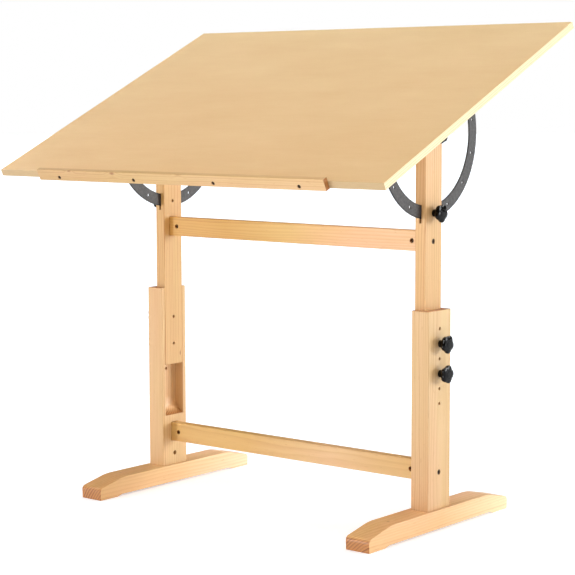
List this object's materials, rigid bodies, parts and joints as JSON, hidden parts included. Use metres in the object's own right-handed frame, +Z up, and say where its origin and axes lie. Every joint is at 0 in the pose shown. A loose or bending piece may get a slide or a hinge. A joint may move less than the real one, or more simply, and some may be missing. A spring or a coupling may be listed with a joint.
{
  "type": "drafting table",
  "caption": "Wooden drafting table: a tilting rectangular board with a pencil ledge on a two-post stand of adjustable height, with steel tilt arcs and star knobs.",
  "frame": {"origin": "on the floor, under the centre of the bounding box", "axes": "+Z up, +X to the sitter's right along the board's long side, +Y from the sitter towards the back"},
  "size_m": [1.067, 0.7117, 1.081],
  "materials": {
    "pine": "clear satin lacquer on planed pine, light yellowish brown with visible grain",
    "board": "smooth satin face with a faint even mottling and paler edges",
    "black_steel": "black powder coat with a fine texture",
    "black_plastic": "glossy moulded black",
    "dark_steel": "dark browned steel screws, rail bolts and barrel nuts",
    "zinc_steel": "bright zinc plate"
  },
  "bodies": {
    "base": {"foot_left": "pine", "foot_right": "pine", "post_left": "pine", "post_right": "pine", "lower_rail_bolt_left": "dark_steel", "lower_rail_bolt_right": "dark_steel", "lower_rail_nut_left": "dark_steel", "lower_rail_nut_right": "dark_steel", "foot_bolt_left": "zinc_steel", "foot_bolt_right": "zinc_steel", "foot_nut_left": "dark_steel", "foot_nut_right": "dark_steel", "lower_rail": "pine"},
    "upper_frame": {"mast_left": "pine", "mast_right": "pine", "upper_rail_bolt_left": "dark_steel", "upper_rail_bolt_right": "dark_steel", "upper_rail_nut_left": "dark_steel", "upper_rail_nut_right": "dark_steel", "pivot_insert_left": "zinc_steel", "pivot_insert_right": "zinc_steel", "arc_insert_left": "zinc_steel", "arc_insert_right": "zinc_steel", "height_insert_upper_left": "zinc_steel", "height_insert_upper_right": "zinc_steel", "height_insert_lower_left": "zinc_steel", "height_insert_lower_right": "zinc_steel", "upper_rail": "pine"},
    "top": {"drawing_board": "board", "pencil_ledge": "pine", "ledge_screw_1": "dark_steel", "ledge_screw_2": "dark_steel", "ledge_screw_3": "dark_steel", "ledge_screw_4": "dark_steel", "tilt_arc_left": "black_steel", "tilt_arc_right": "black_steel", "arc_screw_left_1": "dark_steel", "arc_screw_left_2": "dark_steel", "arc_screw_left_3": "dark_steel", "arc_screw_left_4": "dark_steel", "arc_screw_right_1": "dark_steel", "arc_screw_right_2": "dark_steel", "arc_screw_right_3": "dark_steel", "arc_screw_right_4": "dark_steel"},
    "pivot_knob_left": {"pivot_knob_left": "black_plastic", "pivot_stud_left": "zinc_steel"},
    "arc_knob_left": {"arc_knob_left": "black_plastic", "arc_stud_left": "zinc_steel"},
    "height_upper_knob_left": {"height_upper_knob_left": "black_plastic", "height_upper_stud_left": "zinc_steel"},
    "height_lower_knob_left": {"height_lower_knob_left": "black_plastic", "height_lower_stud_left": "zinc_steel"},
    "pivot_knob_right": {"pivot_knob_right": "black_plastic", "pivot_stud_right": "zinc_steel"},
    "arc_knob_right": {"arc_knob_right": "black_plastic", "arc_stud_right": "zinc_steel"},
    "height_upper_knob_right": {"height_upper_knob_right": "black_plastic", "height_upper_stud_right": "zinc_steel"},
    "height_lower_knob_right": {"height_lower_knob_right": "black_plastic", "height_lower_stud_right": "zinc_steel"}
  },
  "joints": [
    {"name": "height_slide", "type": "slide", "parent": "base", "child": "upper_frame", "axis": [0, 0, 1], "range_m": [-0.064, 0.032]},
    {"name": "tilt", "type": "hinge", "parent": "upper_frame", "child": "top", "pos_m": [0, 0.04044, 0.842], "axis": [1, 0, 0], "range_deg": [-25, 50]},
    {"name": "pivot_knob_left_turn", "type": "hinge", "parent": "upper_frame", "child": "pivot_knob_left", "pos_m": [-0.399, 0.04044, 0.842], "axis": [-1, 0, 0], "continuous": true},
    {"name": "arc_knob_left_turn", "type": "hinge", "parent": "upper_frame", "child": "arc_knob_left", "pos_m": [-0.399, 0.04044, 0.677], "axis": [-1, 0, 0], "continuous": true},
    {"name": "height_upper_knob_left_turn", "type": "hinge", "parent": "base", "child": "height_upper_knob_left", "pos_m": [-0.417, 0.04044, 0.401], "axis": [-1, 0, 0], "continuous": true},
    {"name": "height_lower_knob_left_turn", "type": "hinge", "parent": "base", "child": "height_lower_knob_left", "pos_m": [-0.417, 0.04044, 0.337], "axis": [-1, 0, 0], "continuous": true},
    {"name": "pivot_knob_right_turn", "type": "hinge", "parent": "upper_frame", "child": "pivot_knob_right", "pos_m": [0.399, 0.04044, 0.842], "axis": [1, 0, 0], "continuous": true},
    {"name": "arc_knob_right_turn", "type": "hinge", "parent": "upper_frame", "child": "arc_knob_right", "pos_m": [0.399, 0.04044, 0.677], "axis": [1, 0, 0], "continuous": true},
    {"name": "height_upper_knob_right_turn", "type": "hinge", "parent": "base", "child": "height_upper_knob_right", "pos_m": [0.417, 0.04044, 0.401], "axis": [1, 0, 0], "continuous": true},
    {"name": "height_lower_knob_right_turn", "type": "hinge", "parent": "base", "child": "height_lower_knob_right", "pos_m": [0.417, 0.04044, 0.337], "axis": [1, 0, 0], "continuous": true}
  ]
}
